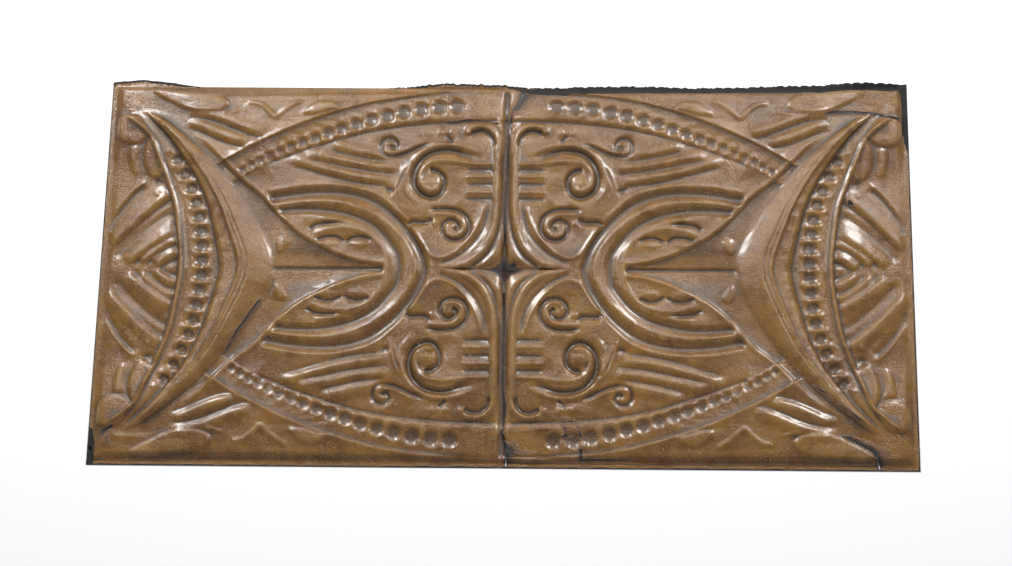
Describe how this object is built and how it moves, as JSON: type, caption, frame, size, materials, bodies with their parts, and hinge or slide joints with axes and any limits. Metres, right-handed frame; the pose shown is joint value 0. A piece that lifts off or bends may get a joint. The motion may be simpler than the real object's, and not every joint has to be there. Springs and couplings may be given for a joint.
{
  "type": "pressed tin ceiling tile",
  "caption": "Rectangular pressed sheet-metal ceiling tile with scrolls, crescents and beaded arcs, in worn brown paint, flat nailing rim all round.",
  "frame": {"origin": "middle of the torn centre hole, level with the back of the flat nailing rim", "axes": "+X along the length, +Y across the width towards the worn long edge, +Z out of the painted face"},
  "size_m": [1.2192, 0.6148, 0.0185],
  "materials": {
    "brown_paint": "old semi-gloss brown paint, dusty and rusted along cracks and edges"
  },
  "bodies": {
    "root": {"pressed_sheet": "brown_paint"}
  },
  "joints": []
}
